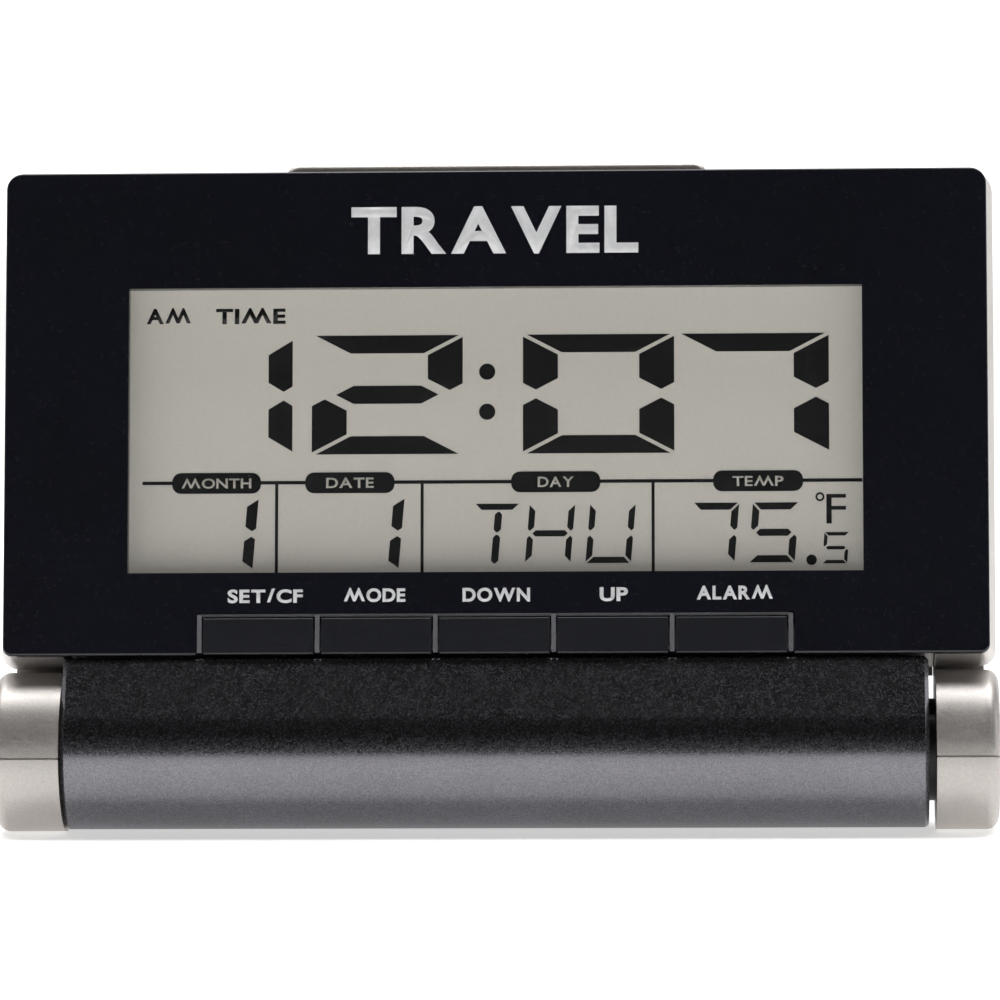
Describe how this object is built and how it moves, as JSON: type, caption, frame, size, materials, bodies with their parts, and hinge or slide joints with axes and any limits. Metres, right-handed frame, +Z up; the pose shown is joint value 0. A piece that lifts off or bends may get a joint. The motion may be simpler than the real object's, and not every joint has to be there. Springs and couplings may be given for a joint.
{
  "type": "travel alarm clock",
  "caption": "Digital travel alarm clock: leaning LCD head with function keys and a top snooze bar, on drum feet, with a flip cover that folds back as its stand.",
  "frame": {"origin": "on the table under the middle of the open clock's box", "axes": "+X to the reader's right along the clock's width, -Y towards the reader, +Z up"},
  "size_m": [0.11, 0.0729, 0.0731],
  "materials": {
    "panel_plastic": "satin",
    "clear_acrylic": "polished",
    "silver_paint": "fine metallic paint",
    "snooze_paint": "satin metallic paint",
    "cover_paint": "grainy metallic paint",
    "black_plastic": "moulded",
    "pin_steel": "turned",
    "foot_rubber": "matt",
    "comb_plastic": "moulded",
    "pad_rubber": "matt",
    "lcd_glass": "polished",
    "polarising_film": "satin",
    "white_plastic": "moulded",
    "guide_acrylic": "polished",
    "led_epoxy": "clear",
    "zebra_rubber": "matt",
    "green_board": "solder mask",
    "black_epoxy": "cured epoxy",
    "chip_ceramic": "ceramic",
    "crystal_can": "drawn can",
    "cell_steel": "nickel plated",
    "contact_spring": "plated spring steel",
    "sounder_brass": "rolled",
    "screw_steel": "zinc plated",
    "key_plastic": "fine texture"
  },
  "bodies": {
    "head": {"front_panel": "panel_plastic", "display_window": "clear_acrylic", "front_housing": "silver_paint", "rear_housing": "silver_paint", "left_drum_cap": "silver_paint", "right_drum_cap": "silver_paint", "key_comb": "comb_plastic", "key_pad": "pad_rubber", "lcd_glass": "lcd_glass", "lcd_polariser": "polarising_film", "lcd_frame": "white_plastic", "light_guide": "guide_acrylic", "backlight_led": "led_epoxy", "zebra_connector": "zebra_rubber", "circuit_board": "green_board", "controller_blob": "black_epoxy", "chip_components": "chip_ceramic", "quartz_crystal": "crystal_can", "temperature_sensor": "black_epoxy", "snooze_switch": "black_plastic", "coin_cell": "cell_steel", "cell_contact": "contact_spring", "sounder_disc": "sounder_brass", "housing_screw_1": "screw_steel", "housing_screw_2": "screw_steel", "housing_screw_3": "screw_steel", "housing_screw_4": "screw_steel", "left_cap_screw": "screw_steel", "right_cap_screw": "screw_steel"},
    "cover": {"cover_shell": "cover_paint", "left_barrel_plug": "black_plastic", "right_barrel_plug": "black_plastic", "left_hinge_pin": "pin_steel", "right_hinge_pin": "pin_steel", "left_cover_foot": "foot_rubber", "right_cover_foot": "foot_rubber"},
    "snooze": {"snooze_bar": "snooze_paint"},
    "door": {"cell_door": "silver_paint"},
    "set_key": {"set_key": "key_plastic"},
    "mode_key": {"mode_key": "key_plastic"},
    "down_key": {"down_key": "key_plastic"},
    "up_key": {"up_key": "key_plastic"},
    "alarm_key": {"alarm_key": "key_plastic"}
  },
  "joints": [
    {"name": "cover_hinge", "type": "hinge", "parent": "head", "child": "cover", "pos_m": [0, -0.02778, 0.00875], "axis": [-1, 0, 0], "range_deg": [0, 265.1]},
    {"name": "snooze_press", "type": "slide", "parent": "head", "child": "snooze", "axis": [0, -0.1736, -0.9848], "range_m": [0, 0.0008], "stiffness_N_per_m": 800},
    {"name": "door_turn", "type": "hinge", "parent": "head", "child": "door", "pos_m": [0.022, -0.01344, 0.03973], "axis": [0, 0.9848, -0.1736], "range_deg": [-35, 0]},
    {"name": "set_press", "type": "slide", "parent": "head", "child": "set_key", "axis": [0, 0.9848, -0.1736], "range_m": [0, 0.00065], "stiffness_N_per_m": 900},
    {"name": "mode_press", "type": "slide", "parent": "head", "child": "mode_key", "axis": [0, 0.9848, -0.1736], "range_m": [0, 0.00065], "stiffness_N_per_m": 900},
    {"name": "down_press", "type": "slide", "parent": "head", "child": "down_key", "axis": [0, 0.9848, -0.1736], "range_m": [0, 0.00065], "stiffness_N_per_m": 900},
    {"name": "up_press", "type": "slide", "parent": "head", "child": "up_key", "axis": [0, 0.9848, -0.1736], "range_m": [0, 0.00065], "stiffness_N_per_m": 900},
    {"name": "alarm_press", "type": "slide", "parent": "head", "child": "alarm_key", "axis": [0, 0.9848, -0.1736], "range_m": [0, 0.00065], "stiffness_N_per_m": 900}
  ]
}
